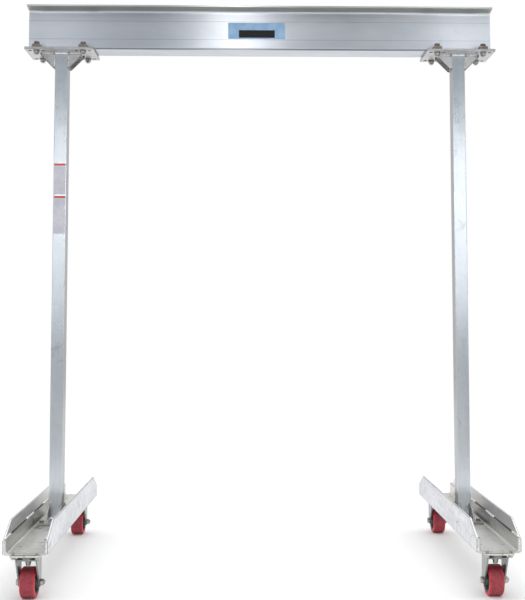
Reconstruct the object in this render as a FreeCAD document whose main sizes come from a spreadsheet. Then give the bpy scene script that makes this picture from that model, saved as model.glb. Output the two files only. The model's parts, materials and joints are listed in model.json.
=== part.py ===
"""Fixed-height portable gantry crane: an I-beam bolted on two square posts that
stand in wheeled channel bases. Millimetres, +X along the beam, +Y to the back,
+Z up, origin on the floor midway between the posts."""
import FreeCAD, Part
import Sketcher
import os
import re

SIZES = (
    # name, value, what it measures
    ("beam_length", 1829, "I-beam, end to end"),
    ("beam_depth", 178, "I-beam, bottom to top"),
    ("flange_width", 94, "both flanges of the I-beam"),
    ("web_thickness", 7, "web of the I-beam"),
    ("flange_tip", 7, "flange thickness at its edge"),
    ("flange_root", 14, "flange thickness at the web"),
    ("flange_fillet", 8, "fillet between flange and web"),
    ("flange_round", 2.5, "rounding of the flange edges, inner side"),
    ("beam_underside", 1979, "underside of the I-beam above the floor"),
    ("post_width", 50.8, "square tube, across its faces"),
    ("post_wall", 6.35, "square tube wall"),
    ("post_corner", 3.2, "square tube outer corner radius"),
    ("saddle_length", 266, "top plate along the beam"),
    ("saddle_setback", 0.5, "beam end beyond the top plate's outer end"),
    ("saddle_edge", 20, "clamping bolts to the top plate's long edges"),
    ("saddle_thickness", 9.5, "top plate"),
    ("spare_hole_edge", 18, "outer spare holes to the top plate's ends"),
    ("spare_hole_step", 25, "from a clamping bolt to the spare hole beside it"),
    ("clamp_offset", 14, "clamping bolts outside the flange edge"),
    ("clamp_width", 32, "beam clamp along the beam"),
    ("clamp_height", 14, "beam clamp above the top plate"),
    ("clamp_reach", 12, "how far a beam clamp laps over the flange"),
    ("clamp_tail", 14, "beam clamp outside its bolt"),
    ("clamp_bevel", 3, "bevels of a beam clamp"),
    ("clamp_slack", 1, "between a beam clamp's heel and the flange edge"),
    ("clamp_bolt", 12.7, "clamping bolt shank"),
    ("foot_bolt", 9.5, "foot plate bolt shank"),
    ("caster_bolt", 9.5, "caster bolt shank"),
    ("washer_thickness", 2, "washers under the bolt heads and nuts"),
    ("bolt_clearance", 0.5, "bolt hole radius beyond the bolt's"),
    ("flats_ratio", 1.5, "hexagons across flats, over the shank's diameter"),
    ("nut_ratio", 0.85, "nut height over the shank's diameter"),
    ("head_ratio", 0.65, "head height over the shank's diameter"),
    ("tail_ratio", 0.35, "shank beyond its nut over its diameter"),
    ("washer_ratio", 2.1, "washer over the shank's diameter"),
    ("knee_leg", 57, "both legs of a knee gusset"),
    ("knee_land", 6, "blunt ends of a knee gusset"),
    ("knee_cope", 12, "cut inner corner of a knee gusset"),
    ("gusset_thickness", 6.35, "knee and foot gussets"),
    ("foot_length", 218, "foot plate, front to back"),
    ("foot_side_gap", 2.9, "foot plate to the channel's inner fillets"),
    ("foot_thickness", 9.5, "foot plate"),
    ("foot_bolt_offset", 10.6, "foot bolts outside the post's sides"),
    ("foot_bolt_edge", 16, "foot bolts to the foot plate's ends"),
    ("foot_gusset_length", 60, "lower edge of a foot gusset, from the post"),
    ("foot_gusset_reach", 40, "top of its free edge, from the post"),
    ("foot_gusset_low", 32, "foot gusset height at the top of its free edge"),
    ("foot_gusset_high", 52, "foot gusset height at the post"),
    ("foot_gusset_cope", 8, "cut lower corner of a foot gusset"),
    ("base_length", 1050, "channel base, front to back"),
    ("channel_width", 136.5, "channel over its flanges"),
    ("channel_height", 50.8, "channel flanges"),
    ("channel_floor", 6.35, "channel web, lying flat"),
    ("channel_flange", 6.35, "channel flange thickness"),
    ("channel_fillet", 8, "fillet inside the channel"),
    ("channel_round", 3, "outer lower corners of the channel"),
    ("side_plate_thickness", 6.35, "side plates of the base"),
    ("side_plate_height", 93, "side plates of the base"),
    ("side_plate_lift", 3, "side plates above the channel's underside"),
    ("side_plate_end", 43, "upright end of a side plate"),
    ("side_plate_taper", 98, "length of the cut corner of a side plate"),
    ("kingpin_setback", 51, "kingpins inside the channel's ends"),
    ("caster_plate_x", 98, "caster mounting plate, side to side"),
    ("caster_plate_y", 114, "caster mounting plate, front to back"),
    ("caster_plate_thickness", 6.35, "caster mounting plate"),
    ("caster_bolt_spacing_x", 78, "between caster bolts, side to side"),
    ("caster_bolt_spacing_y", 92, "between caster bolts, front to back"),
    ("race_height", 6, "upper and lower ball race housings"),
    ("race_diameter", 70, "ball race housings"),
    ("kingpin_diameter", 14, "kingpin"),
    ("kingpin_nut", 24, "kingpin nut, across its corners"),
    ("kingpin_nut_height", 21, "kingpin nut"),
    ("running_gap", 0.4, "between faces that turn on each other"),
    ("shaft_gap", 0.1, "bore radius beyond the pin or axle that turns in it"),
    ("fork_plate", 5, "fork steel"),
    ("fork_front", 34, "fork crown in front of the kingpin"),
    ("fork_back", 40, "fork crown behind the kingpin"),
    ("fork_toe_radius", 15, "round lower end of a fork leg"),
    ("caster_lead", 26, "axle behind the kingpin"),
    ("wheel_diameter", 101.6, "wheel over its tread"),
    ("wheel_width", 50.8, "tread"),
    ("tread_thickness", 9, "polyurethane tread"),
    ("tread_round", 6, "rounded shoulders of the tread"),
    ("rim_thickness", 7, "rim of the wheel core"),
    ("core_inset", 1.5, "rim edge inside the tread edge"),
    ("core_web", 12, "disc of the wheel core"),
    ("hub_diameter", 34, "hub of the wheel core"),
    ("wheel_headroom", 10.25, "between the tread and the kingpin nut"),
    ("wheel_side_gap", 5.5, "between the tread and a fork leg"),
    ("hub_side_gap", 1, "between the hub and a fork leg"),
    ("axle_diameter", 12.7, "axle bolt"),
)

doc = FreeCAD.newDocument("GantryCrane")
sheet = doc.addObject("Spreadsheet::Sheet", "Sizes")
for row, (alias, value, meaning) in enumerate(SIZES, 1):
    sheet.set(f"A{row}", meaning)
    sheet.set(f"B{row}", str(value))
    sheet.setAlias(f"B{row}", alias)
doc.recompute()

ALIASES = re.compile(r"\b(" + "|".join(alias for alias, _, _ in SIZES) + r")\b")
ALONG_X = FreeCAD.Rotation(FreeCAD.Vector(0, 1, 0), 90)
nodes = []

# Heights and offsets that several pieces share, worked out from the sheet.
AXLE_HEIGHT = "(wheel_diameter / 2)"
KINGPIN_BOTTOM = "(wheel_diameter + wheel_headroom)"
CROWN_BOTTOM = f"({KINGPIN_BOTTOM} + kingpin_nut_height + running_gap)"
CROWN_TOP = f"({CROWN_BOTTOM} + fork_plate)"
LOWER_RACE_TOP = f"({CROWN_TOP} + race_height)"
UPPER_RACE_BOTTOM = f"({LOWER_RACE_TOP} + running_gap)"
PLATE_BOTTOM = f"({UPPER_RACE_BOTTOM} + race_height)"
CHANNEL_BOTTOM = f"({PLATE_BOTTOM} + caster_plate_thickness)"
CHANNEL_TOP_OF_FLOOR = f"({CHANNEL_BOTTOM} + channel_floor)"
FOOT_TOP = f"({CHANNEL_TOP_OF_FLOOR} + foot_thickness)"
SADDLE_BOTTOM = "(beam_underside - saddle_thickness)"
POST_X = "(beam_length / 2 - saddle_setback - saddle_length / 2)"
CLAMP_X = "(saddle_length / 2 - spare_hole_edge - spare_hole_step)"
CLAMP_Y = "(flange_width / 2 + clamp_offset)"
FOOT_HALF_WIDTH = "(channel_width / 2 - channel_flange - channel_fillet - foot_side_gap)"
FOOT_BOLT_X = "(post_width / 2 + foot_bolt_offset)"
FOOT_BOLT_Y = "(foot_length / 2 - foot_bolt_edge)"
KINGPIN_Y = "(base_length / 2 - kingpin_setback)"
LEG_INSIDE = "(wheel_width / 2 + wheel_side_gap)"
LEG_OUTSIDE = f"({LEG_INSIDE} + fork_plate)"


def bind(item, prop, formula):
    """Ties a property to a formula in the names of the sheet."""
    item.setExpression(prop, ALIASES.sub(r"Sizes.\1", str(formula)))


def place(item, x=0, y=0, z=0):
    """Puts an object's own origin at x, y, z."""
    for axis, formula in zip("xyz", (x, y, z)):
        bind(item, f"Placement.Base.{axis}", formula)
    return item


def node(item, label):
    """Marks a finished object as a named piece of the crane."""
    item.Label = label
    nodes.append(item)
    return item


def block(name, size, corner):
    """A rectangular block from its size and lowest corner."""
    item = doc.addObject("Part::Box", name)
    for prop, formula in zip(("Length", "Width", "Height"), size):
        bind(item, prop, formula)
    return place(item, *corner)


def rod(name, diameter, length, start, along_x=False):
    """A round bar upwards, or along +X, from its start point."""
    item = doc.addObject("Part::Cylinder", name)
    bind(item, "Radius", f"({diameter}) / 2")
    bind(item, "Height", length)
    if along_x:
        item.Placement.Rotation = ALONG_X
    return place(item, *start)


def hexagon(name, across_flats, length, start, along_x=False):
    """A hexagonal head or nut upwards, or along +X, from its start point."""
    item = doc.addObject("Part::Prism", name)
    item.Polygon = 6
    bind(item, "Circumradius", f"({across_flats}) / 2 / cos(30)")
    bind(item, "Height", length)
    if along_x:
        item.Placement.Rotation = ALONG_X
    return place(item, *start)


def fuse(name, shapes):
    item = doc.addObject("Part::MultiFuse", name)
    item.Shapes = shapes
    item.Refine = True
    return item


def cut(name, base, tools):
    item = doc.addObject("Part::Cut", name)
    item.Base = base
    item.Tool = tools[0] if len(tools) == 1 else fuse(name + "_tools", tools)
    return item


def group(name, shapes):
    """Separate like pieces that share a node."""
    item = doc.addObject("Part::Compound", name)
    item.Links = shapes
    return item


def outline(body, plane, loops):
    """A sketch of closed loops on a plane; every corner is tied to formulas."""
    sketch = body.newObject("Sketcher::SketchObject", body.Name + "_outline")
    origin_plane = [f for f in body.Origin.OriginFeatures if f.Role == plane][0]
    sketch.AttachmentSupport = [(origin_plane, "")]
    sketch.MapMode = "FlatFace"
    for corners in loops:
        first = sketch.GeometryCount
        count = len(corners)
        sizes = [[sheet_value(f) for f in corner] for corner in corners]
        points = [FreeCAD.Vector(u, v, 0) for u, v in sizes]
        for i in range(count):
            sketch.addGeometry(Part.LineSegment(points[i], points[(i + 1) % count]))
        for i in range(count):
            ends = (first + i, 2, first + (i + 1) % count, 1)
            sketch.addConstraint(Sketcher.Constraint("Coincident", *ends))
        for i, corner in enumerate(corners):
            for kind, size, formula in zip(("DistanceX", "DistanceY"), sizes[i], corner):
                pin = (kind, -1, 1, first + i, 1, size)
                index = sketch.addConstraint(Sketcher.Constraint(*pin))
                bind(sketch, f"Constraints[{index}]", formula)
    return sketch


def sheet_value(formula):
    """What a formula in the names of the sheet comes to now."""
    return float(sheet.evalExpression(ALIASES.sub(r"Sizes.\1", str(formula))))


def extrusion(name, plane, loops, length):
    """A body with one outline, padded both ways from its plane."""
    body = doc.addObject("PartDesign::Body", name)
    sketch = outline(body, plane, loops)
    pad = body.newObject("PartDesign::Pad", name + "_pad")
    pad.Profile = sketch
    pad.Midplane = True
    bind(pad, "Length", length)
    return body


def turning(name, corners):
    """A body turned about its own X axis from one outline in the XZ plane."""
    body = doc.addObject("PartDesign::Body", name)
    sketch = outline(body, "XZ_Plane", [corners])
    turned = body.newObject("PartDesign::Revolution", name + "_turned")
    turned.Profile = sketch
    turned.ReferenceAxis = (sketch, ["H_Axis"])
    turned.Angle = 360
    return body


def round_edges(body, radius, chosen):
    """Rounds the edges of a body for which chosen(edge) is true."""
    doc.recompute()
    base = body.Tip
    edges = [f"Edge{i}" for i, edge in enumerate(base.Shape.Edges, 1) if chosen(edge)]
    if not edges:
        raise ValueError(f"{body.Name} has no edge to round")
    rounding = body.newObject("PartDesign::Fillet", body.Name + "_round")
    rounding.Base = (base, edges)
    bind(rounding, "Radius", radius)
    return body


def rectangle(width, height):
    """Corners of a rectangle centred on the sketch's origin."""
    u, v = f"({width}) / 2", f"({height}) / 2"
    return [(f"-{u}", f"-{v}"), (u, f"-{v}"), (u, v), (f"-{u}", v)]


def four_places(half_x, half_y, x="0", y="0"):
    """Formulas for the four places of a rectangular bolt pattern about x, y."""
    return [(f"{x} + {i} * {half_x}", f"{y} + {j} * {half_y}") for i in (-1, 1) for j in (-1, 1)]


def bolt(name, shank, x, y, grip_bottom, grip_top):
    """An upright bolt with its head on top, two washers and a nut below."""
    low = f"({grip_bottom} - washer_thickness)"
    high = f"({grip_top} + washer_thickness)"
    nut = f"({shank} * nut_ratio)"
    head = f"({shank} * head_ratio)"
    tail = f"({shank} * tail_ratio)"
    flats = f"({shank} * flats_ratio)"
    washer = f"({shank} * washer_ratio)"
    stem_low = f"{low} - {nut} - {tail}"
    stem = rod(name + "_stem", shank, f"{high} - ({stem_low})", (x, y, stem_low))
    return fuse(name, [
        stem,
        hexagon(name + "_nut", flats, nut, (x, y, f"{low} - {nut}")),
        rod(name + "_low_washer", washer, "washer_thickness", (x, y, low)),
        rod(name + "_washer", washer, "washer_thickness", (x, y, grip_top)),
        hexagon(name + "_head", flats, head, (x, y, high)),
    ])


def bolt_holes(name, shank, places, bottom, depth):
    """Clearance holes through one plate."""
    wide = f"{shank} + 2 * bolt_clearance"
    return [rod(f"{name}_{i}", wide, depth, (x, y, bottom)) for i, (x, y) in enumerate(places)]


def i_beam():
    """The whole I section: tapered flanges, filleted into the web."""
    edge, tip = "flange_width / 2", "(beam_depth / 2 - flange_tip)"
    web, root = "web_thickness / 2", "(beam_depth / 2 - flange_root)"
    out = "beam_depth / 2"
    right = [(edge, f"-({out})"), (edge, f"-{tip}"), (web, f"-{root}"),
             (web, root), (edge, tip), (edge, out)]
    left = [(f"-({u})", v) for u, v in reversed(right)]
    body = extrusion("i_beam", "YZ_Plane", [right + left], "beam_length")
    half_web = sheet_value(web)
    root_height = sheet_value(root)
    tip_height = sheet_value(tip)

    def at(edge_, across, height):
        centre = edge_.BoundBox.Center
        along_x = edge_.BoundBox.XLength > 1
        near = abs(abs(centre.y) - across) < 0.01 and abs(abs(centre.z) - height) < 0.01
        return along_x and near

    round_edges(body, "flange_fillet", lambda e: at(e, half_web, root_height))
    round_edges(body, "flange_round", lambda e: at(e, sheet_value(edge), tip_height))
    place(body, z="beam_underside + beam_depth / 2")
    node(body, "i_beam")


def post(side, x):
    """A square tube from the foot plate to the top plate."""
    hollow = "post_width - 2 * post_wall"
    loops = [rectangle("post_width", "post_width"), rectangle(hollow, hollow)]
    length = f"{SADDLE_BOTTOM} - {FOOT_TOP}"
    body = extrusion(f"{side}_post", "XY_Plane", loops, length)
    half = sheet_value("post_width") / 2

    def outer_corner(edge):
        box = edge.BoundBox
        return box.ZLength > 1 and abs(abs(box.Center.x) - half) < 0.01 \
            and abs(abs(box.Center.y) - half) < 0.01

    round_edges(body, "post_corner", outer_corner)
    place(body, x=x, z=f"({SADDLE_BOTTOM} + {FOOT_TOP}) / 2")
    node(body, f"{side}_post")


def top_plate(side):
    """The saddle plate, with clamping holes and spare holes beside them."""
    name = f"{side}_top_plate"
    half_width = f"({CLAMP_Y} + saddle_edge)"
    size = ("saddle_length", f"2 * {half_width}", "saddle_thickness")
    corner = ("-saddle_length / 2", f"-{half_width}", SADDLE_BOTTOM)
    holes = []
    for column, step in (("inner", -1), ("clamp", 0), ("outer", 1)):
        places = four_places(f"({CLAMP_X} + {step} * spare_hole_step)", CLAMP_Y)
        holes += bolt_holes(f"{name}_{column}_hole", "clamp_bolt", places, SADDLE_BOTTOM,
                            "saddle_thickness")
    return cut(name, block(name + "_blank", size, corner), holes)


def knee_gussets(side):
    """Twin triangular plates on both sides of the post, under the top plate."""
    name = f"{side}_knee_gussets"
    face = "post_width / 2"
    plates = []
    for way in (-1, 1):
        shape = [("knee_cope", "0"), ("knee_leg", "0"), ("knee_leg", "-knee_land"),
                 ("knee_land", "-knee_leg"), ("0", "-knee_leg"), ("0", "-knee_cope")]
        corners = [(f"{way} * ({face} + {u})", v) for u, v in shape]
        for row in (-1, 1):
            plate = extrusion(f"{name}_{len(plates)}", "XZ_Plane", [corners], "gusset_thickness")
            y = f"{row} * ({face} - gusset_thickness / 2)"
            plates.append(place(plate, y=y, z=SADDLE_BOTTOM))
    return group(name, plates)


def foot_gussets(side):
    """Low sloping plates in front of and behind the post, flush with its sides."""
    name = f"{side}_foot_gussets"
    face = "post_width / 2"
    plates = []
    for way in (-1, 1):
        shape = [("foot_gusset_cope", "0"), ("foot_gusset_length", "0"),
                 ("foot_gusset_reach", "foot_gusset_low"), ("0", "foot_gusset_high"),
                 ("0", "foot_gusset_cope")]
        corners = [(f"{way} * ({face} + {u})", v) for u, v in shape]
        for row in (-1, 1):
            plate = extrusion(f"{name}_{len(plates)}", "YZ_Plane", [corners], "gusset_thickness")
            x = f"{row} * ({face} - gusset_thickness / 2)"
            plates.append(place(plate, x=x, z=FOOT_TOP))
    return group(name, plates)


def beam_clamps(side):
    """Four jaws that stand on the top plate and grip the lower flange."""
    name = f"{side}_beam_clamps"
    edge, tail = "flange_width / 2", f"({CLAMP_Y} + clamp_tail)"
    heel = f"{edge} + clamp_slack"
    toe = f"({edge} - clamp_reach)"
    slope = "((flange_root - flange_tip) / ((flange_width - web_thickness) / 2))"
    jaws = []
    for way in (-1, 1):
        profile = [(heel, "0"), (tail, "0"), (tail, "clamp_height - clamp_bevel"),
                   (f"{tail} - clamp_bevel", "clamp_height"),
                   (f"{toe} + clamp_bevel", "clamp_height"),
                   (toe, "clamp_height - clamp_bevel / 2"),
                   (toe, f"flange_tip + {slope} * clamp_reach"), (heel, "flange_tip")]
        corners = [(f"{way} * ({u})", v) for u, v in profile]
        for end in (-1, 1):
            label = f"{name}_{len(jaws)}"
            x, y = f"{end} * {CLAMP_X}", f"{way} * {CLAMP_Y}"
            jaw = extrusion(label + "_jaw", "YZ_Plane", [corners], "clamp_width")
            place(jaw, x=x, z="beam_underside")
            hole = bolt_holes(label + "_hole", "clamp_bolt", [(x, y)], "beam_underside",
                              "clamp_height")
            jaws.append(cut(label, jaw, hole))
    return group(name, jaws)


def clamp_bolts(side):
    places = four_places(CLAMP_X, CLAMP_Y)
    top = "(beam_underside + clamp_height)"
    name = f"{side}_clamp_bolts"
    return group(name, [bolt(f"{name}_{i}", "clamp_bolt", x, y, SADDLE_BOTTOM, top)
                        for i, (x, y) in enumerate(places)])


def foot_plate(side):
    name = f"{side}_foot_plate"
    size = (f"2 * {FOOT_HALF_WIDTH}", "foot_length", "foot_thickness")
    corner = (f"-{FOOT_HALF_WIDTH}", "-foot_length / 2", CHANNEL_TOP_OF_FLOOR)
    blank = block(name + "_blank", size, corner)
    places = four_places(FOOT_BOLT_X, FOOT_BOLT_Y)
    return cut(name, blank, bolt_holes(name + "_hole", "foot_bolt", places, CHANNEL_TOP_OF_FLOOR,
                                       "foot_thickness"))


def foot_bolts(side):
    name = f"{side}_foot_bolts"
    places = four_places(FOOT_BOLT_X, FOOT_BOLT_Y)
    return group(name, [bolt(f"{name}_{i}", "foot_bolt", x, y, CHANNEL_BOTTOM, FOOT_TOP)
                        for i, (x, y) in enumerate(places)])


def caster_bolt_places():
    """All eight caster bolts of one base."""
    half_x, half_y = "caster_bolt_spacing_x / 2", "caster_bolt_spacing_y / 2"
    front = four_places(half_x, half_y, y=f"-{KINGPIN_Y}")
    return front + four_places(half_x, half_y, y=KINGPIN_Y)


def base_channel(side):
    """A channel lying on its web, open upwards, with the posts' and casters' holes."""
    name = f"{side}_base_channel"
    out, top = "channel_width / 2", "channel_height"
    inner = f"({out} - channel_flange)"
    profile = [(f"-{out}", "0"), (out, "0"), (out, top), (inner, top), (inner, "channel_floor"),
               (f"-{inner}", "channel_floor"), (f"-{inner}", top), (f"-{out}", top)]
    body = extrusion(name + "_section", "XZ_Plane", [profile], "base_length")

    def along_y(edge, across, height):
        box = edge.BoundBox
        return box.YLength > 1 and abs(abs(box.Center.x) - across) < 0.01 \
            and abs(box.Center.z - height) < 0.01

    half, half_inner = sheet_value(out), sheet_value(inner)
    floor = sheet_value("channel_floor")
    round_edges(body, "channel_fillet", lambda e: along_y(e, half_inner, floor))
    round_edges(body, "channel_round", lambda e: along_y(e, half, 0))
    place(body, z=CHANNEL_BOTTOM)
    holes = bolt_holes(name + "_foot", "foot_bolt", four_places(FOOT_BOLT_X, FOOT_BOLT_Y),
                       CHANNEL_BOTTOM, "channel_floor")
    holes += bolt_holes(name + "_caster", "caster_bolt", caster_bolt_places(), CHANNEL_BOTTOM,
                        "channel_floor")
    return cut(name, body, holes)


def side_plate(name, face):
    """A tall plate against a channel flange, its upper corners cut at both ends."""
    end, low = "base_length / 2", "side_plate_end"
    profile = [(f"-{end}", "0"), (end, "0"), (end, low),
               (f"{end} - side_plate_taper", "side_plate_height"),
               (f"side_plate_taper - {end}", "side_plate_height"), (f"-{end}", low)]
    body = extrusion(name, "YZ_Plane", [profile], "side_plate_thickness")
    return place(body, x=face, z=f"{CHANNEL_BOTTOM} + side_plate_lift")


def caster_bolts(side):
    """Screws up through the caster plates into the channel, ends flush with its floor."""
    name = f"{side}_caster_bolts"
    screws = []
    head = "(caster_bolt * head_ratio)"
    low = f"({PLATE_BOTTOM} - washer_thickness)"
    for x, y in caster_bolt_places():
        label = f"{name}_{len(screws)}"
        stem = rod(label + "_stem", "caster_bolt", f"{CHANNEL_TOP_OF_FLOOR} - {low}", (x, y, low))
        washer = rod(label + "_washer", "caster_bolt * washer_ratio", "washer_thickness",
                     (x, y, low))
        cap = hexagon(label + "_head", "caster_bolt * flats_ratio", head,
                      (x, y, f"{low} - {head}"))
        screws.append(fuse(label, [stem, washer, cap]))
    return group(name, screws)


def caster_plate(name):
    """Mounting plate with its ball race housing, kingpin and kingpin nut."""
    size = ("caster_plate_x", "caster_plate_y", "caster_plate_thickness")
    corner = ("-caster_plate_x / 2", "-caster_plate_y / 2", PLATE_BOTTOM)
    blank = block(name + "_blank", size, corner)
    places = four_places("caster_bolt_spacing_x / 2", "caster_bolt_spacing_y / 2")
    drilled = cut(name + "_drilled", blank, bolt_holes(name + "_hole", "caster_bolt", places,
                                                       PLATE_BOTTOM, "caster_plate_thickness"))
    race = rod(name + "_race", "race_diameter", "race_height", (0, 0, UPPER_RACE_BOTTOM))
    pin = rod(name + "_pin", "kingpin_diameter", f"{PLATE_BOTTOM} - {KINGPIN_BOTTOM}",
              (0, 0, KINGPIN_BOTTOM))
    nut = doc.addObject("Part::Cone", name + "_nut")
    bind(nut, "Radius1", "kingpin_diameter / 2")
    bind(nut, "Radius2", "kingpin_nut / 2")
    bind(nut, "Height", "kingpin_nut_height")
    place(nut, z=KINGPIN_BOTTOM)
    return fuse(name, [drilled, race, pin, nut])


def fork(name):
    """Lower race, crown plate and two legs that slope back to the axle."""
    race = rod(name + "_race", "race_diameter", "race_height", (0, 0, CROWN_TOP))
    size = (f"2 * {LEG_OUTSIDE}", "fork_front + fork_back", "fork_plate")
    crown = block(name + "_crown", size, (f"-{LEG_OUTSIDE}", "-fork_front", CROWN_BOTTOM))
    pieces = [race, crown]
    toe_front, toe_back = "caster_lead - fork_toe_radius", "caster_lead + fork_toe_radius"
    profile = [("-fork_front", CROWN_TOP), ("fork_back", CROWN_TOP), ("fork_back", CROWN_BOTTOM),
               (toe_back, AXLE_HEIGHT), (toe_front, AXLE_HEIGHT), ("-fork_front", CROWN_BOTTOM)]
    for way, label in ((-1, "left"), (1, "right")):
        leg = extrusion(f"{name}_{label}_leg", "YZ_Plane", [profile], "fork_plate")
        pieces.append(place(leg, x=f"{way} * ({LEG_OUTSIDE} - fork_plate / 2)"))
        start = f"-{LEG_OUTSIDE}" if way < 0 else LEG_INSIDE
        toe = rod(f"{name}_{label}_toe", "2 * fork_toe_radius", "fork_plate",
                  (start, "caster_lead", AXLE_HEIGHT), along_x=True)
        pieces.append(toe)
    kingpin_hole = rod(name + "_kingpin_hole", "kingpin_diameter + 2 * shaft_gap",
                       f"{LOWER_RACE_TOP} - {CROWN_BOTTOM}", (0, 0, CROWN_BOTTOM))
    axle_hole = rod(name + "_axle_hole", "axle_diameter + 2 * shaft_gap", f"2 * {LEG_OUTSIDE}",
                    (f"-{LEG_OUTSIDE}", "caster_lead", AXLE_HEIGHT), along_x=True)
    return cut(name, fuse(name + "_blank", pieces), [kingpin_hole, axle_hole])


def axle(name):
    """A bolt through both fork legs, its head and nut outside them."""
    head, nut = "(axle_diameter * head_ratio)", "(axle_diameter * nut_ratio)"
    tail, flats = "(axle_diameter * tail_ratio)", "axle_diameter * flats_ratio"
    y, z = "caster_lead", AXLE_HEIGHT
    stem = rod(name + "_stem", "axle_diameter", f"2 * {LEG_OUTSIDE} + {nut} + {tail}",
               (f"-{LEG_OUTSIDE}", y, z), along_x=True)
    cap = hexagon(name + "_head", flats, head, (f"-{LEG_OUTSIDE} - {head}", y, z), along_x=True)
    end = hexagon(name + "_nut", flats, nut, (LEG_OUTSIDE, y, z), along_x=True)
    return fuse(name, [stem, cap, end])


def wheel_core(name, x, y):
    """Rim, disc and hub turned in one piece, bored for the axle."""
    bore = "(axle_diameter / 2 + shaft_gap)"
    rim = "(wheel_diameter / 2 - tread_thickness)"
    rim_half, web_half = "(wheel_width / 2 - core_inset)", "core_web / 2"
    hub_half = f"({LEG_INSIDE} - hub_side_gap)"
    right = [(hub_half, bore), (hub_half, "hub_diameter / 2"), (web_half, "hub_diameter / 2"),
             (web_half, f"{rim} - rim_thickness"), (rim_half, f"{rim} - rim_thickness"),
             (rim_half, rim)]
    left = [(f"-({u})", v) for u, v in reversed(right)]
    body = turning(name, right + left)
    node(place(body, x, f"{y} + caster_lead", AXLE_HEIGHT), name)


def tyre(name, x, y):
    """Polyurethane tread with rounded shoulders, moulded round the core."""
    inner, outer = "(wheel_diameter / 2 - tread_thickness)", "wheel_diameter / 2"
    half = "wheel_width / 2"
    corners = [(f"-{half}", inner), (half, inner), (half, outer), (f"-{half}", outer)]
    body = turning(name, corners)
    radius, reach = sheet_value(outer), sheet_value(half)

    def shoulder(edge):
        round_ = hasattr(edge.Curve, "Radius") and abs(edge.Curve.Radius - radius) < 0.01
        return round_ and abs(abs(edge.BoundBox.Center.x) - reach) < 0.01

    round_edges(body, "tread_round", shoulder)
    node(place(body, x, f"{y} + caster_lead", AXLE_HEIGHT), name)



def settle(item, label, x, y="0"):
    """Moves a finished piece to its post or kingpin and names it."""
    return node(place(item, x, y), label)


def build_side(side, way):
    """One post with everything above and below it."""
    x = f"{way} * {POST_X}"
    settle(top_plate(side), f"{side}_top_plate", x)
    post(side, x)
    settle(knee_gussets(side), f"{side}_knee_gussets", x)
    settle(beam_clamps(side), f"{side}_beam_clamps", x)
    settle(clamp_bolts(side), f"{side}_clamp_bolts", x)
    settle(foot_plate(side), f"{side}_foot_plate", x)
    settle(foot_gussets(side), f"{side}_foot_gussets", x)
    settle(foot_bolts(side), f"{side}_foot_bolts", x)
    settle(base_channel(side), f"{side}_base_channel", x)
    settle(caster_bolts(side), f"{side}_caster_bolts", x)
    for face, facing in (("outer", way), ("inner", -way)):
        label = f"{side}_{face}_side_plate"
        offset = f"{facing} * (channel_width + side_plate_thickness) / 2"
        node(side_plate(label, f"{x} + {offset}"), label)
    for end, end_way in (("front", -1), ("rear", 1)):
        build_caster(f"{end}_{side}", x, f"{end_way} * {KINGPIN_Y}")


def build_caster(corner, x, y):
    """Swivel caster under one end of a base; its wheel trails to the back."""
    settle(caster_plate(f"{corner}_caster_plate"), f"{corner}_caster_plate", x, y)
    settle(fork(f"{corner}_fork"), f"{corner}_fork", x, y)
    settle(axle(f"{corner}_axle"), f"{corner}_axle", x, y)
    wheel_core(f"{corner}_wheel_core", x, y)
    tyre(f"{corner}_tyre", x, y)


def check_and_write():
    """Stops at any failed object or shape, then writes one file for each piece."""
    doc.recompute()
    for item in doc.Objects:
        if "Invalid" in item.State or "Error" in item.State:
            raise RuntimeError(f"{item.Label} failed: {item.State}")
    for item in nodes:
        if item.Shape.isNull() or not item.Shape.isValid():
            raise RuntimeError(f"{item.Label} has no valid shape")
    os.makedirs("parts", exist_ok=True)
    for item in nodes:
        item.Shape.exportStep(f"parts/{item.Label}.step")
    print(len(nodes), "pieces written")


i_beam()
build_side("left", -1)
build_side("right", 1)
check_and_write()
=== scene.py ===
import json
import math
import random

import bpy
import bmesh
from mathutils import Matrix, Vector


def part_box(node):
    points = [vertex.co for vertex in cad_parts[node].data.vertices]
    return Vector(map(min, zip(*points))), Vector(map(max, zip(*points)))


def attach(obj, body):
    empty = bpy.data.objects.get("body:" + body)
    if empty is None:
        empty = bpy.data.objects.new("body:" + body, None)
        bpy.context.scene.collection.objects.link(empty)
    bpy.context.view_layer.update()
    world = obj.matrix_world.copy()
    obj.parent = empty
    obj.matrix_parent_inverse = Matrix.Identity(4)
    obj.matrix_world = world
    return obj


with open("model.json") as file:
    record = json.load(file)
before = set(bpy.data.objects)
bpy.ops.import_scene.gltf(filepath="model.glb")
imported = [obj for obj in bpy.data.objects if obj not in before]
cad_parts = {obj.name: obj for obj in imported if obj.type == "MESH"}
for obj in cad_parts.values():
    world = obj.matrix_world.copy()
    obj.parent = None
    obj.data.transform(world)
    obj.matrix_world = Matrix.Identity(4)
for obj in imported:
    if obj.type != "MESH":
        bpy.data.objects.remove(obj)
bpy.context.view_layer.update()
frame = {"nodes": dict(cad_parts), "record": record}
nodes = frame["nodes"]
SIDES = {"left": -1, "right": 1}

# Measures that follow the CAD, in metres.
TUBE_HALF = 0.0254          # half the width of a post
CHANNEL_HALF = 0.06825      # half the width of a base channel
GUSSET = 0.00635            # thickness of a gusset
WEB_FACE = -0.0035          # front face of the beam's web
channel_low, channel_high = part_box("left_base_channel")
POST_LINE = -(channel_low.x + channel_high.x) / 2
CHANNEL_BOTTOM, CHANNEL_TOP = channel_low.z, channel_high.z


def srgb(r, g, b):
    """Display colour, 0 to 255, as the linear colour the shaders use."""
    channel = lambda c: c / 12.92 if c <= 0.04045 else ((c + 0.055) / 1.055) ** 2.4
    return (channel(r / 255), channel(g / 255), channel(b / 255), 1.0)


# ---------------------------------------------------------------- node helpers

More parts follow.
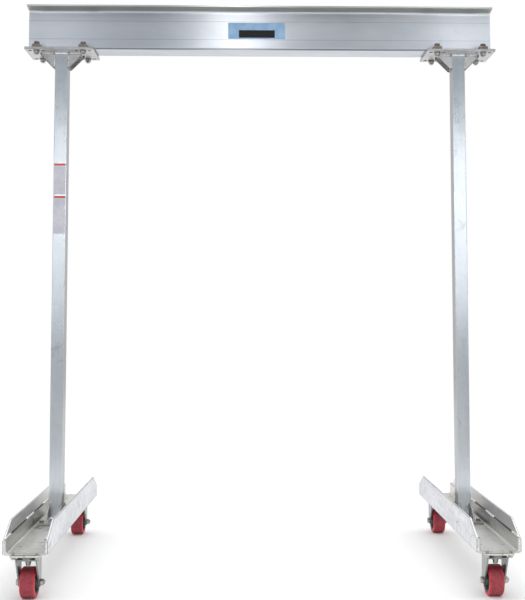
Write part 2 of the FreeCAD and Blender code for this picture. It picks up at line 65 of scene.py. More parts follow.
# Directions across a grain along X, Y or Z: the tangents of anisotropic metal.
ACROSS_GRAIN = {"X": (0, 0.71, 0.71), "Y": (0.71, 0, 0.71), "Z": (0.71, 0.71, 0)}


def grained(along, fine):
    """Noise stretch for a grain that runs along one axis."""
    return tuple(1.0 if letter == along else fine for letter in "XYZ")


class Graph:
    """A node tree, and short names for the nodes that go in it."""

    def __init__(self, tree):
        self.tree = tree

    def add(self, kind, **settings):
        """A new node with its settings."""
        n = self.tree.nodes.new(kind)
        for key, value in settings.items():
            setattr(n, key, value)
        return n

    def feed(self, socket, value):
        """Link a socket to another, or set its constant."""
        if isinstance(value, bpy.types.NodeSocket):
            self.tree.links.new(value, socket)
        else:
            socket.default_value = value

    def span(self, value, low, high, out_low=0.0, out_high=1.0):
        """Smooth step from out_low at low to out_high at high; low may be the larger."""
        n = self.add("ShaderNodeMapRange", interpolation_type="SMOOTHSTEP")
        for key, v in (("Value", value), ("From Min", low), ("From Max", high),
                       ("To Min", out_low), ("To Max", out_high)):
            self.feed(n.inputs[key], v)
        return n.outputs["Result"]

    def math(self, operation, a, b=0.0):
        """One arithmetic step."""
        n = self.add("ShaderNodeMath", operation=operation)
        self.feed(n.inputs[0], a)
        self.feed(n.inputs[1], b)
        return n.outputs[0]

    def times(self, a, b):
        return self.math("MULTIPLY", a, b)

    def plus(self, a, b):
        return self.math("ADD", a, b)

    def gap(self, a, b):
        """How far two values lie apart."""
        return self.math("ABSOLUTE", self.math("SUBTRACT", a, b))

    def within(self, value, outer_low, inner_low, inner_high, outer_high):
        """1 between the inner limits, 0 beyond the outer ones."""
        return self.times(self.span(value, outer_low, inner_low),
                          self.span(value, outer_high, inner_high))

    def mix(self, share, a, b):
        """Colour a where the share is 0, b where it is 1."""
        n = self.add("ShaderNodeMix", data_type="RGBA")
        self.feed(n.inputs["Factor"], share)
        self.feed(n.inputs[6], a)
        self.feed(n.inputs[7], b)
        return n.outputs[2]


class Shader(Graph):
    """A material with a Principled shader, its patterns laid out in the object's own metres."""

    def __init__(self, name, roughness, metallic=0.0, **fixed):
        self.material = bpy.data.materials.new(name)
        self.material.use_nodes = True
        super().__init__(self.material.node_tree)
        self.bsdf = self.tree.nodes["Principled BSDF"]
        self.bsdf.inputs["Roughness"].default_value = roughness
        self.bsdf.inputs["Metallic"].default_value = metallic
        for key, value in fixed.items():
            self.bsdf.inputs[key.replace("_", " ")].default_value = value
        self.place = self.add("ShaderNodeTexCoord").outputs["Object"]

    def to(self, name, value):
        """Feed an input of the Principled shader."""
        self.feed(self.bsdf.inputs[name], value)

    def tint(self, share, colour):
        """Lay a colour over the base colour where the share is 1."""
        base = self.bsdf.inputs["Base Color"]
        self.feed(base, self.mix(share, base.links[0].from_socket, colour))

    def stretched(self, scale, offset=(0, 0, 0), turn=(0, 0, 0)):
        """The object's coordinates, turned, scaled and shifted."""
        n = self.add("ShaderNodeMapping")
        self.feed(n.inputs["Vector"], self.place)
        n.inputs["Location"].default_value = offset
        n.inputs["Rotation"].default_value = turn
        n.inputs["Scale"].default_value = scale
        return n.outputs["Vector"]

    def noise(self, scale, detail, rough, stretch=(1, 1, 1), offset=(0, 0, 0), turn=(0, 0, 0),
              twist=0.0):
        """Fractal noise around 0.5."""
        n = self.add("ShaderNodeTexNoise")
        self.feed(n.inputs["Vector"], self.stretched(stretch, offset, turn))
        n.inputs["Scale"].default_value = scale
        n.inputs["Detail"].default_value = detail
        n.inputs["Roughness"].default_value = rough
        n.inputs["Distortion"].default_value = twist
        return n.outputs["Fac"]

    def cells(self, scale, offset):
        """Distance to the nearest of many scattered points."""
        n = self.add("ShaderNodeTexVoronoi")
        self.feed(n.inputs["Vector"], self.stretched((1, 1, 1), offset))
        n.inputs["Scale"].default_value = scale
        return n.outputs["Distance"]

    def axis(self, letter, offset=(0, 0, 0)):
        """One coordinate of the object, in metres."""
        n = self.add("ShaderNodeSeparateXYZ")
        self.feed(n.inputs[0], self.stretched((1, 1, 1), offset))
        return n.outputs[letter]

    def off_centre(self, letter):
        """Distance from the crane's middle along one axis."""
        return self.math("ABSOLUTE", self.axis(letter))

    def off_post(self):
        """Distance along X from the middle of the nearer post."""
        return self.gap(self.off_centre("X"), POST_LINE)

    def bump(self, height, distance, under=None):
        """Normal of a relief, over another normal if one is given."""
        n = self.add("ShaderNodeBump")
        n.inputs["Strength"].default_value = 1.0
        n.inputs["Distance"].default_value = distance
        self.feed(n.inputs["Height"], height)
        if under is not None:
            self.feed(n.inputs["Normal"], under)
        return n.outputs["Normal"]

    def edges(self, radius, low=0.02, high=0.25):
        """1 along the piece's sharp edges, 0 on its faces."""
        bevel = self.add("ShaderNodeBevel", samples=4)
        bevel.inputs["Radius"].default_value = radius
        geometry = self.add("ShaderNodeNewGeometry")
        dot = self.add("ShaderNodeVectorMath", operation="DOT_PRODUCT")
        self.feed(dot.inputs[0], bevel.outputs["Normal"])
        self.feed(dot.inputs[1], geometry.outputs["Normal"])
        return self.span(self.math("SUBTRACT", 1.0, dot.outputs["Value"]), low, high)

    def crevices(self, distance, low=0.35, high=0.85):
        """Ambient-occlusion mask for painted shade: 1 deep in a corner or seam, 0 on open faces.
        """
        ao = self.add("ShaderNodeAmbientOcclusion", samples=6)
        ao.inputs["Distance"].default_value = distance
        return self.span(ao.outputs["AO"], low, high, 1.0, 0.0)

    def scratches(self, along, turn, offset):
        """Long thin lines that wander, mostly along one axis, in patches."""
        width = 0.006
        contour = self.noise(9.0, 1, 0.4, grained(along, 14.0), offset, turn, 0.2)
        line = self.span(self.gap(contour, 0.5), width, width * 0.3)
        patch = self.span(self.noise(12.0, 3, 0.6, offset=offset), 0.48, 0.6)
        return self.times(line, patch)

    def across(self, direction):
        """Stretch the highlights of anisotropic metal along a direction."""
        n = self.add("ShaderNodeCombineXYZ")
        for i, v in enumerate(direction):
            n.inputs[i].default_value = v
        self.to("Tangent", n.outputs[0])


# ---------------------------------------------------------------- materials

def aluminium(name, light, dark, stain, along, roughness, anisotropic, seed, wave=0.00025,
              edge=0.35, scuffs=0.5, mottled=0.2, grime_and_corner_shade=0.6, turn=(0, 0, 0), contrast=0.14,
              streaky=0.35, uneven=1.0, rim=(0.93, 0.93, 0.93, 1.0), rim_width=0.0022):
    """Mill aluminium, its extrusion or rolling grain along one axis.

    Shares from 0 to 1: edge is the rim's colour on sharp edges, scuffs the stain in rubbed
    patches and scratches, grime_and_corner_shade the painted shade in corners, mottled and
    streaky the parts that blotches and grain have in the tone. A smaller contrast sets light
    and dark more sharply apart. wave is the depth of slow ripples, uneven scales the fine relief
    and the roughness.
    """
    s = Shader(name, roughness, 1.0, Anisotropic=anisotropic)
    offset = (seed, seed * 1.7, seed * 0.6)
    broad = s.noise(2.6, 3, 0.5, grained(along, 3.0), offset, twist=0.4)
    streaks = s.noise(7.0, 4, 0.6, grained(along, 45.0), offset)
    grain = s.noise(24.0, 2, 0.6, grained(along, 60.0), offset)
    mottle = s.noise(38.0, 4, 0.6, offset=offset)
    tone = s.plus(s.times(broad, 1.0 - streaky - mottled), s.times(streaks, streaky))
    tone = s.plus(tone, s.times(mottle, mottled))
    s.to("Base Color", s.mix(s.span(tone, 0.5 - contrast, 0.5 + contrast), dark, light))
    rub = s.span(s.noise(11.0, 5, 0.7, offset=(seed + 3, 1, 2), twist=1.2), 0.58, 0.74)
    s.tint(s.times(rub, scuffs), stain)
    specks = s.span(s.cells(150.0, offset), 0.055, 0.02)
    sparse = s.span(s.noise(14.0, 2, 0.5, offset=offset), 0.56, 0.66)
    s.tint(s.times(specks, s.times(sparse, 0.5)), stain)
    s.tint(s.times(s.scratches(along, turn, offset), scuffs * 0.7), stain)
    # Painted shade: corners and seams darkened wherever ambient occlusion finds them.
    s.tint(s.times(s.crevices(0.012), grime_and_corner_shade), srgb(74, 70, 64))
    s.tint(s.times(s.edges(rim_width, 0.004, 0.07), edge), rim)
    blend = s.plus(s.times(mottle, 0.4), s.times(streaks, 0.6))
    rough = s.span(blend, 0.3, 0.7, roughness - 0.07 * uneven, roughness + 0.08 * uneven)
    s.to("Roughness", s.plus(rough, s.times(rub, 0.1)))
    waves = s.bump(s.noise(4.5, 2, 0.5, grained(along, 1.6), offset, twist=0.6), wave * 10)
    fine = s.bump(grain, 0.00010 * uneven, under=waves)
    s.to("Normal", s.bump(mottle, 0.00016 * uneven, under=fine))
    s.across(ACROSS_GRAIN[along])
    return s


def beam_material():
    """Smooth extrusion: two die lines on the web, painted shade under the upper flange and on the
    tips of the lower one."""
    die_lines = (0.0535, 0.126)
    s = aluminium("beam_aluminium", srgb(222, 226, 232), srgb(196, 202, 211), srgb(150, 148, 146),
                  "X", 0.29, 0.9, seed=1.0, scuffs=0.12, mottled=0.1, contrast=0.3,
                  wave=0.00004, streaky=0.12, uneven=0.2)
    low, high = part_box("i_beam")
    z, y = s.axis("Z"), s.off_centre("Y")
    for height in die_lines:
        line = s.span(s.gap(z, low.z + height), 0.0016, 0.0004)
        s.tint(s.times(line, 0.45), srgb(128, 132, 140))
    # Painted shade: the underside of the upper flange, which faces down, darkened.
    under_flange_shade = s.within(z, high.z - 0.0165, high.z - 0.0125, high.z - 0.0065, high.z - 0.0045)
    clear_of_web = s.span(y, 0.008, 0.014)
    s.tint(s.times(under_flange_shade, clear_of_web), srgb(166, 164, 154))
    # Painted shade: the tip faces of the lower flange darkened.
    tip = s.span(y, high.y - 0.0012, high.y - 0.0004)
    lower_tip_shade = s.times(tip, s.span(z, low.z + 0.012, low.z + 0.010))
    s.tint(s.times(lower_tip_shade, 0.75), srgb(112, 112, 112))
    return s


def tube_material():
    """Extruded posts, their side faces painted a darker, warmer grey than their fronts as shade.
    """
    s = aluminium("tube_aluminium", srgb(234, 239, 244), srgb(212, 220, 228), srgb(158, 148, 136),
                  "Z", 0.30, 0.88, seed=4.0, scuffs=0.4, mottled=0.15, contrast=0.25,
                  wave=0.00010, streaky=0.3, uneven=0.5)
    # Painted shade: the post's side faces, turned away from the lamps, darkened to a warm grey.
    side_face_shade = s.span(s.off_post(), TUBE_HALF - 0.0006, TUBE_HALF - 0.0001, 0.0, 0.6)
    s.tint(side_face_shade, srgb(168, 163, 154))
    return s


def seam_shadow(shader, from_post, height):
    """Darkens the open joint between a channel flange and its side plate."""
    near_plate = shader.within(shader.off_post(), from_post[0] - 0.0008, from_post[0],
                               from_post[1], from_post[1] + 0.0008)
    level = shader.within(shader.axis("Z"), height[0] - 0.0006, height[0],
                          height[1], height[1] + 0.0012)
    shader.tint(shader.times(shader.times(near_plate, level), 0.97), srgb(58, 54, 52))


def channel_material():
    """Handled extrusion, dark along its cut edges and where it meets the side plates."""
    s = aluminium("channel_aluminium", srgb(226, 226, 222), srgb(196, 195, 190),
                  srgb(128, 124, 114), "Y", 0.36, 0.45, seed=9.0, scuffs=0.9, contrast=0.1,
                  turn=(0, 0, 0.75), rim=srgb(84, 80, 78), edge=0.8, rim_width=0.003)
    seam_shadow(s, (CHANNEL_HALF - 0.0036, CHANNEL_HALF), (CHANNEL_TOP - 0.0006, CHANNEL_TOP))
    return s


def side_plate_material():
    """Handled plate, with painted light on the faces that look in over the channel."""
    s = aluminium("side_plate_aluminium", srgb(232, 233, 236), srgb(196, 198, 203),
                  srgb(146, 142, 140), "Y", 0.4, 0.3, wave=0.0004, seed=12.0, scuffs=0.8,
                  mottled=0.4, turn=(0.5, 0, 0), rim=srgb(92, 88, 88), edge=0.9, rim_width=0.005)
    # Painted light: faces looking in over the channel lightened towards white, a painted
    # reflection of the bright room.
    inward_painted_light = s.span(s.off_post(), CHANNEL_HALF + 0.002, CHANNEL_HALF + 0.004, 0.55, 0.0)
    s.tint(inward_painted_light, (0.98, 0.97, 0.95, 1.0))
    seam_shadow(s, (0.0, CHANNEL_HALF + 0.0004), (CHANNEL_TOP - 0.001, CHANNEL_TOP + 0.0026))
    return s


def knee_material():
    """Gusset plate, its cut edges, which face away from Y, darkened as painted shade."""
    s = aluminium("knee_gusset_aluminium", srgb(222, 222, 222), srgb(184, 184, 184),
                  srgb(140, 136, 130), "X", 0.36, 0.3, seed=18.0, rim=srgb(70, 66, 62),
                  edge=0.9, rim_width=0.005, grime_and_corner_shade=0.9)
    facing = s.add("ShaderNodeSeparateXYZ")
    s.feed(facing.inputs[0], s.add("ShaderNodeNewGeometry").outputs["Normal"])
    # Painted shade: faces turned away from Y, the plate's cut edges, darkened.
    cut_edge_shade = s.span(s.math("ABSOLUTE", facing.outputs["Y"]), 0.6, 0.4, 0.0, 0.8)
    s.tint(cut_edge_shade, srgb(84, 80, 76))
    return s


def zinc(name, light, dark, seed, roughness=0.32, shade=0.0, sooty_above=None, grey_below=None,
         rim=(0.85, 0.85, 0.84, 1.0), rim_width=0.0012):
    """Zinc plate or plain steel.

    shade darkens sheltered faces, sooty_above what lies above that height and grey_below
    what lies below it.
    """
    s = Shader(name, roughness, 1.0)
    mottle = s.noise(60.0, 4, 0.6, offset=(seed, 0, 0))
    spangle = s.cells(320.0, (seed, 0, 0))
    tone = s.plus(s.times(mottle, 0.7), s.times(spangle, 0.5))
    s.to("Base Color", s.mix(s.span(tone, 0.3, 0.72), dark, light))
    grime_and_corner_shade = s.span(s.noise(45.0, 5, 0.7, offset=(seed + 5, 2, 1)), 0.55, 0.72)
    s.tint(s.times(grime_and_corner_shade, 0.5), srgb(88, 84, 78))
    s.tint(s.times(s.edges(rim_width, 0.004, 0.1), 0.6), rim)
    if shade:
        s.tint(s.times(s.crevices(0.035, 0.3, 0.9), shade), srgb(46, 44, 42))
    if grey_below is not None:
        below = s.span(s.axis("Z"), grey_below, grey_below - 0.002, 0.0, 0.9)
        s.tint(below, srgb(138, 138, 134))
    if sooty_above is not None:
        above = s.span(s.axis("Z"), sooty_above, sooty_above + 0.002, 0.0, 0.75)
        s.tint(above, srgb(104, 98, 90))
    s.to("Roughness", s.span(mottle, 0.3, 0.7, roughness - 0.08, roughness + 0.14))
    s.to("Normal", s.bump(s.noise(420.0, 3, 0.6), 0.0001, under=s.bump(mottle, 0.0003)))
    return s


def tread(name, centre):
    """Moulded polyurethane, dull and dusty where it runs, brighter on its shoulders and sides."""
    s = Shader(name, 0.45, IOR=1.48, Coat_Weight=0.12, Coat_Roughness=0.35)
    x = s.math("ABSOLUTE", s.axis("X", offset=(-centre.x, 0, 0)))
    shoulder = s.span(x, 0.0185, 0.0235)
    mottle = s.noise(70.0, 4, 0.65)
    dusty = s.mix(s.span(mottle, 0.3, 0.7), srgb(140, 44, 56), srgb(170, 62, 74))
    bright = s.mix(s.span(mottle, 0.3, 0.7), srgb(186, 28, 42), srgb(214, 44, 58))
    s.to("Base Color", s.mix(shoulder, dusty, bright))
    ring = s.noise(9.0, 3, 0.6, (60, 1, 1))
    s.tint(s.span(ring, 0.56, 0.75, 0.0, 0.35), srgb(112, 44, 52))
    dirt = s.span(s.noise(160.0, 3, 0.7, offset=(4, 4, 4)), 0.62, 0.75)
    s.tint(s.times(dirt, 0.4), srgb(90, 62, 60))
    s.to("Roughness", s.plus(s.span(shoulder, 0.0, 1.0, 0.56, 0.34), s.times(mottle, 0.1)))
    s.to("Normal", s.bump(mottle, 0.0005, under=s.bump(ring, 0.0004)))
    return s


def painted_iron(name):
    """Dark green-grey paint, worn through in places along the edges."""
    s = Shader(name, 0.5, IOR=1.5)
    mottle = s.noise(90.0, 4, 0.6)
    s.to("Base Color", s.mix(s.span(mottle, 0.3, 0.7), srgb(58, 78, 74), srgb(92, 112, 106)))
    worn = s.times(s.edges(0.0015), s.span(s.noise(220.0, 3, 0.6), 0.45, 0.6))
    s.tint(worn, srgb(150, 152, 148))
    s.to("Roughness", s.span(mottle, 0.3, 0.7, 0.38, 0.6))
    s.to("Normal", s.bump(s.noise(500.0, 3, 0.6), 0.0002, under=s.bump(mottle, 0.0006)))
    return s


def film_surface(name, ground, faded, roughness):
    """Plain film: even colour, a little fading and a fine orange peel."""
    s = Shader(name, roughness, IOR=1.46)
    fade = s.noise(30.0, 4, 0.6)
    s.to("Base Color", s.mix(s.span(fade, 0.35, 0.7), ground, faded))
    s.to("Roughness", s.span(fade, 0.3, 0.7, roughness - 0.06, roughness + 0.1))
    s.to("Normal", s.bump(s.noise(700.0, 2, 0.5), 0.00005))
    return s


def weld_material():
    """Bright weld metal with soot in patches."""
    s = Shader("weld_aluminium", 0.3, 1.0)
    mottle = s.noise(180.0, 4, 0.65)
    soot = s.span(s.noise(60.0, 4, 0.7, offset=(7, 1, 3)), 0.52, 0.7)
    s.to("Base Color", s.mix(s.span(mottle, 0.3, 0.7), srgb(226, 227, 228), srgb(250, 250, 250)))
    s.tint(s.times(soot, 0.45), srgb(120, 116, 110))
    s.to("Roughness", s.span(mottle, 0.3, 0.7, 0.2, 0.42))
    s.to("Normal", s.bump(mottle, 0.0004))
    return s


# By material slot; the CAD's nodes share one material per slot unless named below.
finish = {
    "beam_aluminium": beam_material(),
    "tube_aluminium": tube_material(),
    "plate_aluminium": aluminium(
        "plate_aluminium", srgb(218, 218, 218), srgb(180, 180, 182), srgb(150, 146, 140),
        "X", 0.34, 0.3, seed=7.0, scuffs=0.5, rim=srgb(84, 80, 76), edge=0.7, rim_width=0.003,
        grime_and_corner_shade=0.9),
    "channel_aluminium": channel_material(),
    "side_plate_aluminium": side_plate_material(),
    "clamp_steel": zinc("clamp_steel", srgb(150, 140, 130), srgb(104, 96, 88), 2.0, 0.45),
    "zinc_steel": zinc("zinc_steel", srgb(206, 204, 200), srgb(150, 150, 150), 5.0, shade=0.5,
                       rim=srgb(66, 62, 60), rim_width=0.003),
    "caster_steel": zinc("caster_steel", srgb(170, 172, 172), srgb(128, 131, 131), 8.0, shade=0.9,
                         rim=srgb(72, 74, 74), rim_width=0.003),
    "core_iron": painted_iron("core_iron"),
}
# By the end of the node's name, where a part looks different from the rest of its slot.
special = {
    "caster_plate": zinc(
        "caster_plate_steel", srgb(230, 226, 220), srgb(188, 184, 178), 3.0, shade=0.25,
        rim=srgb(82, 78, 76), rim_width=0.0028, grey_below=CHANNEL_BOTTOM - 0.008),
    "knee_gussets": knee_material(),
    # Painted shade: the foot gussets are a darker copy of the plate aluminium, for the shadow
    # around the post's foot.
    "foot_gussets": aluminium(
        "foot_gusset_aluminium_shaded", srgb(182, 180, 178), srgb(132, 130, 128), srgb(110, 106, 102),
        "Y", 0.38, 0.3, seed=15.0, rim=srgb(74, 70, 68), edge=0.8),
    "foot_bolts": zinc("foot_bolt_steel", srgb(172, 170, 166), srgb(112, 110, 106), 7.0,
                       shade=0.7),
    "clamp_bolts": zinc(
        "clamp_bolt_steel", srgb(222, 220, 216), srgb(160, 158, 154), 6.0, shade=0.6,
        rim=srgb(60, 56, 52), rim_width=0.003, sooty_above=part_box("i_beam")[0].z + 0.008),
}
slot_of = {part["node"]: part["material_slot"] for part in frame["record"]["subparts"]}
for name, obj in nodes.items():
    if slot_of[name] == "red_tread":
        low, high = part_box(name)
        chosen = tread(name.replace("tyre", "tread"), (low + high) / 2)
    else:
        own = [shader for ending, shader in special.items() if name.endswith(ending)]
        chosen = own[0] if own else finish[slot_of[name]]
    for holder in obj.material_slots:
        holder.material = chosen.material


# ---------------------------------------------------------------- mesh pieces

def piece(name, mesh, shader, body="crane_frame", smooth=True):
    """An object of the visual model that rides a body and carries a material slot."""
    obj = bpy.data.objects.new(name, mesh)
    bpy.context.scene.collection.objects.link(obj)
    mesh.materials.append(shader.material)
    for face in mesh.polygons:
        face.use_smooth = smooth
    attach(obj, body)
    return obj


def finished_mesh(name, bm):
    """The mesh of a bmesh, its faces turned outwards."""
    bmesh.ops.recalc_face_normals(bm, faces=bm.faces)
    mesh = bpy.data.meshes.new(name)
    bm.to_mesh(mesh)
    bm.free()
    return mesh


def skin(bm, one, two):
    """Quads between two rings of as many points."""
    n = len(one)
    for j in range(n):
        bm.faces.new((one[j], one[(j + 1) % n], two[(j + 1) % n], two[j]))


BEAD_PITCH = 0.0042                     # length of one scallop
BEAD_RINGS = 4                          # rings of points per scallop
BEAD_AROUND = 10                        # points per ring
ASKEW = Vector((0.31, 0.52, 0.79))      # a direction that no weld runs along


def add_bead(bm, points, radius, rng, closed):
    """A weld bead along a line: overlapping scallops of slightly different size.

    An open bead is thinner at both ends.
    """
    points = [Vector(p) for p in points]
    if closed:
        points = points + [points[0]]
    runs = [(a, b, (b - a).length) for a, b in zip(points, points[1:])]
    total = sum(run[2] for run in runs)
    count = max(2, round(total / BEAD_PITCH))
    step = total / count
    sizes = [rng.uniform(0.9, 1.08) for _ in range(count + 1)]
    rings = []
    for k in range(count * BEAD_RINGS + (0 if closed else 1)):
        s = k * step / BEAD_RINGS
        left = s
        for a, b, length in runs:
            if left <= length + 1e-9:
                break
            left -= length
        along = (b - a).normalized()
        centre = a + along * min(left, length)
        side = along.cross(ASKEW).normalized()
        up = side.cross(along)
        phase = (s / step) % 1.0
        scallop = 0.84 + 0.16 * math.sqrt(math.sin(math.pi * min(max(phase, 0.02), 0.98)))
        size = radius * scallop * sizes[min(int(s / step), count)]
        if not closed:
            from_end = min(s, total - s)
            size *= 0.45 + 0.55 * min(1.0, from_end / (radius * 1.4))
        lean = along * (radius * 0.35 * math.sin(2 * math.pi * phase))
        ring = []
        for j in range(BEAD_AROUND):
            angle = 2 * math.pi * j / BEAD_AROUND
            out = side * math.cos(angle) + up * math.sin(angle)
            ring.append(bm.verts.new(centre + out * size + lean * 0.3))
        rings.append(ring)
    for one, two in zip(rings, rings[1:]):
        skin(bm, one, two)
    if closed:
        skin(bm, rings[-1], rings[0])
    else:
        bm.faces.new(list(reversed(rings[0])))
        bm.faces.new(rings[-1])


def beads(name, lines, radius, seed, closed=False):
    """One piece with a weld bead along each line."""
    rng = random.Random(seed)
    bm = bmesh.new()
    for line in lines:
        add_bead(bm, line, radius, rng, closed)
    return piece(name, finished_mesh(name, bm), weld)


def rounded(width, height, corner, steps=5):
    """Corner points of a rectangle with round corners, centred, anticlockwise."""
    points = []
    for cx, cz, start in ((1, 1, 0), (-1, 1, 90), (-1, -1, 180), (1, -1, 270)):
        for k in range(steps + 1):
            angle = math.radians(start + 90 * k / steps)
            points.append(((width / 2 - corner) * cx + corner * math.cos(angle),
                           (height / 2 - corner) * cz + corner * math.sin(angle)))
    return points


def film(name, centre, width, height, thickness, corner, shader):
    """A thin sheet stuck on a face that looks towards -Y, its edge eased."""
    bm = bmesh.new()
    x0, y0, z0 = centre
    loops = []
    for depth, inset in ((0.0, 0.0), (0.7, 0.0), (1.0, 0.00035)):
        ring = rounded(width - 2 * inset, height - 2 * inset, max(corner - inset, 0.0003))
        loops.append([bm.verts.new((x0 + px, y0 - thickness * depth, z0 + pz))
                      for px, pz in ring])
    for one, two in zip(loops, loops[1:]):
        skin(bm, one, two)
    bm.faces.new(loops[-1])
    bm.faces.new(list(reversed(loops[0])))
    return piece(name, finished_mesh(name, bm), shader, smooth=False)


# ---------------------------------------------------------------- welds

# Radii of the beads, and where the stitches along the side plates start and end in Y.
POST_BEAD, STITCH_BEAD, END_BEAD = 0.0046, 0.0048, 0.0024
THIN_BEAD = 0.0026
STITCHES = ((-0.519, -0.436), (-0.200, -0.084), (0.084, 0.200), (0.436, 0.519))
LOWER_STITCHES = ((-0.40, -0.32), (-0.05, 0.05), (0.32, 0.40))


# Straight lines along one axis.
def along_x(x0, x1, y, z):
    return [(x0, y, z), (x1, y, z)]


def along_y(x, y0, y1, z):
    return [(x, y0, z), (x, y1, z)]


def along_z(x, y, z0, z1):
    return [(x, y, z0), (x, y, z1)]


def post_lines(low, high, x):
    """Around the post, at its foot and its head."""
    square = [(x + px, py) for px, py in rounded(2 * TUBE_HALF, 2 * TUBE_HALF, 0.004, 3)]
    return [[(px, py, z) for px, py in square] for z in (low.z, high.z)]


def knee_lines(low, high, x):
    """Where the knee gussets meet the post and the top plate, outside and inside."""
    lines = []
    for way in (-1, 1):
        for face in (-1, 1):
            beside = x + way * (TUBE_HALF + 0.001)
            outer, inner = face * TUBE_HALF, face * (TUBE_HALF - GUSSET)
            lines += [
                along_z(beside, face * (TUBE_HALF - 0.0008), low.z + 0.004, high.z - 0.004),
                along_x(x + way * (TUBE_HALF + 0.004), x + way * (TUBE_HALF + 0.052), outer,
                        high.z),
                along_x(x + way * (TUBE_HALF + 0.010), x + way * (TUBE_HALF + 0.050), inner,
                        high.z),
                along_z(x + way * TUBE_HALF, inner, low.z + 0.002, high.z - 0.010),
            ]
    return lines


def foot_lines(low, high, x):
    """Where the foot gussets stand on the foot plate, on their inner faces."""
    return [along_y(x + way * (TUBE_HALF - GUSSET), face * (TUBE_HALF + 0.011),
                    face * (high.y - 0.004), low.z)
            for face in (-1, 1) for way in (-1, 1)]


weld = weld_material()
for side, sign in SIDES.items():
    low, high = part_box(f"{side}_post")
    x = (low.x + high.x) / 2
    beads(f"{side}_post_welds", post_lines(low, high, x), POST_BEAD, 11 + sign,
          closed=True)
    low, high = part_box(f"{side}_knee_gussets")
    beads(f"{side}_knee_welds", knee_lines(low, high, x), THIN_BEAD, 21 + sign)
    low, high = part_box(f"{side}_foot_gussets")
    beads(f"{side}_foot_welds", foot_lines(low, high, x), THIN_BEAD, 31 + sign)

    low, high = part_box(f"{side}_base_channel")
    seams = (x - CHANNEL_HALF, x + CHANNEL_HALF)
    upper = [along_y(seam, y0, y1, high.z) for seam in seams for y0, y1 in STITCHES]
    lower = [along_y(seam, y0, y1, low.z + 0.003) for seam in seams for y0, y1 in LOWER_STITCHES]
    ends = [along_z(seam, end, low.z + 0.007, high.z - 0.006)
            for seam in seams for end in (low.y, high.y)]
    beads(f"{side}_stitch_welds", upper, STITCH_BEAD, 41 + sign)
    beads(f"{side}_lower_stitch_welds", lower, THIN_BEAD, 51 + sign)
    beads(f"{side}_end_welds", ends, END_BEAD, 61 + sign)


# ---------------------------------------------------------------- bare plate and films

PLATE_THICK = 0.0006
DECAL_THICK = 0.0003
DECAL_WIDTH = 0.0445
BAR_HEIGHT, BAR_THICK = 0.0075, 0.0002
DECALS = ((1.5327, 1.4111), (1.4055, 1.2577))   # top and bottom, heights above the floor

blue_film = film_surface("plate_print_blue", srgb(150, 190, 228), srgb(172, 206, 238), 0.38)
black_film = film_surface("plate_print_black", srgb(10, 11, 12), srgb(20, 21, 23), 0.6)
lilac_film = film_surface("decal_lilac", srgb(196, 196, 206), srgb(210, 210, 218), 0.5)
red_film = film_surface("decal_red", srgb(206, 76, 58), srgb(220, 96, 78), 0.5)

beam_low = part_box("i_beam")[0]
film("web_plate", (-0.016, WEB_FACE, beam_low.z + 0.0896), 0.226, 0.0655, PLATE_THICK, 0.002,
     blue_film)
film("web_plate_panel", (-0.0148, WEB_FACE - PLATE_THICK, beam_low.z + 0.077), 0.142, 0.0305,
     DECAL_THICK, 0.001, black_film)
post_low, post_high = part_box("left_post")
post_x = (post_low.x + post_high.x) / 2
for k, (top, bottom) in enumerate(DECALS):
    film(f"post_decal_{k}", (post_x, post_low.y, (top + bottom) / 2), DECAL_WIDTH, top - bottom,
         DECAL_THICK, 0.001, lilac_film)
    film(f"post_decal_{k}_bar", (post_x, post_low.y - DECAL_THICK, top - 0.0040), DECAL_WIDTH,
         BAR_HEIGHT, BAR_THICK, 0.0008, red_film)


# ---------------------------------------------------------------- stage, light, camera

def stage_floor():
    """White paper, square, that runs far out behind the crane."""
    half, behind = 4.6, 2.8
    mesh = bpy.data.meshes.new("floor")
    bm = bmesh.new()
    bmesh.ops.create_grid(bm, x_segments=8, y_segments=8, size=half)
    bm.to_mesh(mesh)
    bm.free()
    obj = bpy.data.objects.new("floor", mesh)
    obj.location.y = behind
    bpy.context.scene.collection.objects.link(obj)
    s = Shader("floor_paper", 0.75)
    s.to("Base Color", s.mix(s.noise(0.7, 3, 0.5), srgb(250, 250, 250), srgb(254, 254, 254)))
    mesh.materials.append(s.material)


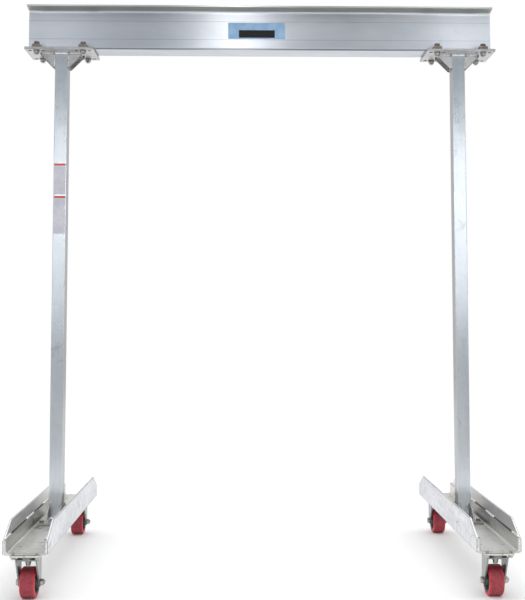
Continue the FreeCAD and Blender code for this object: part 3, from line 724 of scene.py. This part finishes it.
def studio_world():
    """A grey room with a bright ceiling, lighter behind the crane; white to the camera."""
    world = bpy.data.worlds.new("studio")
    bpy.context.scene.world = world
    world.use_nodes = True
    g = Graph(world.node_tree)
    background = g.tree.nodes["Background"]
    split = g.add("ShaderNodeSeparateXYZ")
    g.feed(split.inputs[0], g.add("ShaderNodeTexCoord").outputs["Generated"])
    behind = g.span(split.outputs["Y"], -0.5, 0.35)
    walls = g.mix(behind, (0.36, 0.378, 0.40, 1.0), (0.80, 0.80, 0.80, 1.0))
    ground = g.mix(behind, (0.58, 0.58, 0.57, 1.0), (0.72, 0.72, 0.72, 1.0))
    room = g.mix(g.span(split.outputs["Z"], -0.10, 0.02), ground, walls)
    room = g.mix(g.span(split.outputs["Z"], 0.32, 0.9), room, (1.3, 1.3, 1.3, 1.0))
    path = g.add("ShaderNodeLightPath")
    shown = g.mix(path.outputs["Is Camera Ray"], room, (1.0, 1.0, 1.0, 1.0))
    g.feed(background.inputs["Color"], shown)
    background.inputs["Strength"].default_value = 1.0


def softbox(name, place, target, width, height, power):
    """A rectangular light aimed at a point and unseen by the camera."""
    light = bpy.data.lights.new(name, "AREA")
    light.shape = "RECTANGLE"
    light.size, light.size_y = width, height
    light.energy = power
    obj = bpy.data.objects.new(name, light)
    bpy.context.scene.collection.objects.link(obj)
    obj.location = place
    obj.rotation_euler = (Vector(target) - Vector(place)).to_track_quat("-Z", "Y").to_euler()
    obj.visible_camera = False


stage_floor()
studio_world()
# Place, target, width, height and watts. The keys put the highlights on the web and the posts.
softbox("key", (-0.14, -4.3, 2.05), (-0.14, 0, 1.3), 0.26, 1.1, 12)
softbox("left_post_key", (-1.62, -4.3, 1.62), (-0.78, 0, 1.3), 0.5, 1.5, 5.5)
softbox("right_post_key", (1.76, -4.3, 1.7), (0.78, 0, 1.3), 0.5, 1.5, 10)
softbox("top", (0.3, -0.2, 4.6), (0, 0.4, 0), 3.0, 3.0, 29)
softbox("left_fill", (-3.6, -2.2, 1.8), (0, 0, 0.9), 1.8, 2.4, 5)
softbox("right_fill", (3.6, -2.2, 1.8), (0, 0, 0.9), 1.8, 2.4, 5)

# The photograph's camera, fitted to the crane's corners; lengths of the picture in pixels.
FOCAL_PIXELS = 960.15
SHIFT_PIXELS = -47.3
PHOTO_HEIGHT = 600
SENSOR = 36             # millimetres, along the picture's height
PITCH = 0.0660          # radians above level
YAW = -0.0188           # radians off straight ahead, to the right

camera = bpy.data.cameras.new("camera")
camera.lens = FOCAL_PIXELS * SENSOR / PHOTO_HEIGHT
camera.sensor_width = SENSOR
camera.shift_y = SHIFT_PIXELS / PHOTO_HEIGHT
camera.dof.use_dof = False
view = bpy.data.objects.new("camera", camera)
view.location = (-0.0628, -3.7452, 0.9397)
view.rotation_euler = (math.pi / 2 + PITCH, 0, YAW)
bpy.context.scene.collection.objects.link(view)
bpy.context.scene.camera = view
bpy.context.scene.view_settings.view_transform = "Standard"
